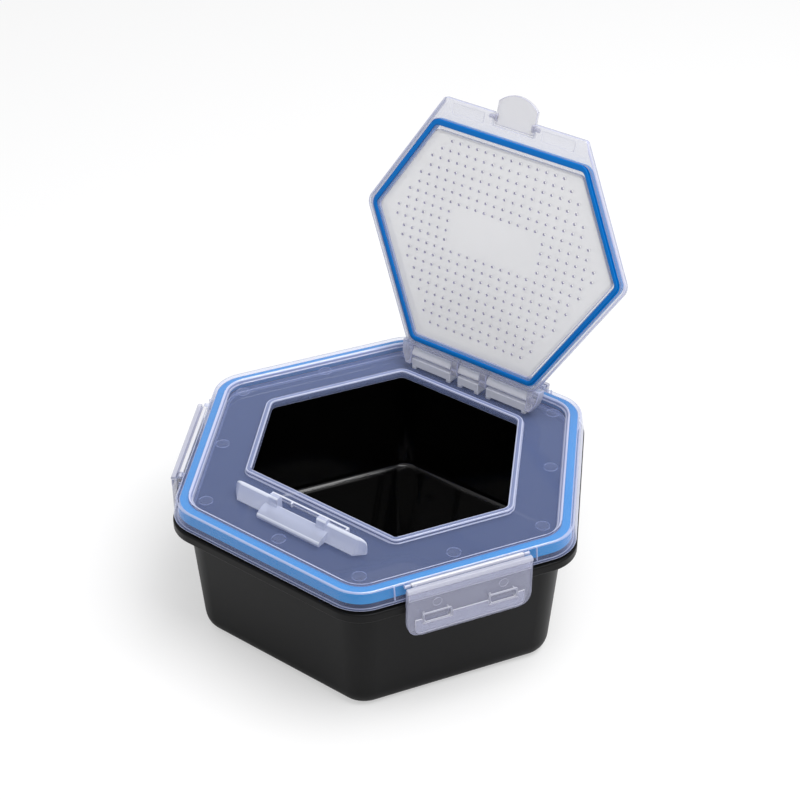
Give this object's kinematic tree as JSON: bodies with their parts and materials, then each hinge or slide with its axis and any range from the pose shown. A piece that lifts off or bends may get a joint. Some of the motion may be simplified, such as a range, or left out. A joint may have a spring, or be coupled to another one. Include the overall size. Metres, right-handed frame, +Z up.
{
  "type": "bait box",
  "caption": "Six-sided bait box with a drafted tub, a latched sealing lid and a hinged perforated hatch that a finger lever locks.",
  "frame": {"origin": "middle of the tub's flat underside", "axes": "+Z up, -Y towards the front side with the hatch catch, +X to the right seen from the front"},
  "size_m": [0.1918, 0.1832, 0.2023],
  "materials": {
    "tub_plastic": "black moulded polypropylene",
    "lid_plastic": "milky translucent polypropylene",
    "hatch_plastic": "milky translucent polypropylene",
    "panel_plastic": "milky polypropylene, slightly paler than the frame",
    "seal_silicone": "blue silicone"
  },
  "bodies": {
    "box": {"tub": "tub_plastic", "main_lid": "lid_plastic", "main_seal": "seal_silicone", "hatch_catch": "lid_plastic"},
    "latch_front_right_body": {"latch_front_right": "lid_plastic"},
    "latch_back_body": {"latch_back": "lid_plastic"},
    "latch_left_body": {"latch_left": "lid_plastic"},
    "hatch": {"hatch_frame": "hatch_plastic", "vent_panel": "panel_plastic", "hatch_seal": "seal_silicone"},
    "lever": {"lock_lever": "hatch_plastic"}
  },
  "joints": [
    {"name": "hatch_hinge", "type": "hinge", "parent": "box", "child": "hatch", "pos_m": [0, 0.065, 0.0752], "axis": [1, 0, 0], "range_deg": [0, 104.7]},
    {"name": "lever_pivot", "type": "hinge", "parent": "hatch", "child": "lever", "pos_m": [0, 0.09295, 0.1912], "axis": [-1, 0, 0], "range_deg": [0, 12], "stiffness_Nm_per_rad": 0.02},
    {"name": "latch_front_right_hinge", "type": "hinge", "parent": "box", "child": "latch_front_right_body", "pos_m": [0.07353, -0.04245, 0.0696], "axis": [-0.5, -0.866, 0], "range_deg": [0, 130]},
    {"name": "latch_back_hinge", "type": "hinge", "parent": "box", "child": "latch_back_body", "pos_m": [0, 0.0849, 0.0696], "axis": [1, 0, 0], "range_deg": [0, 130]},
    {"name": "latch_left_hinge", "type": "hinge", "parent": "box", "child": "latch_left_body", "pos_m": [-0.07353, -0.04245, 0.0696], "axis": [-0.5, 0.866, 0], "range_deg": [0, 130]}
  ]
}
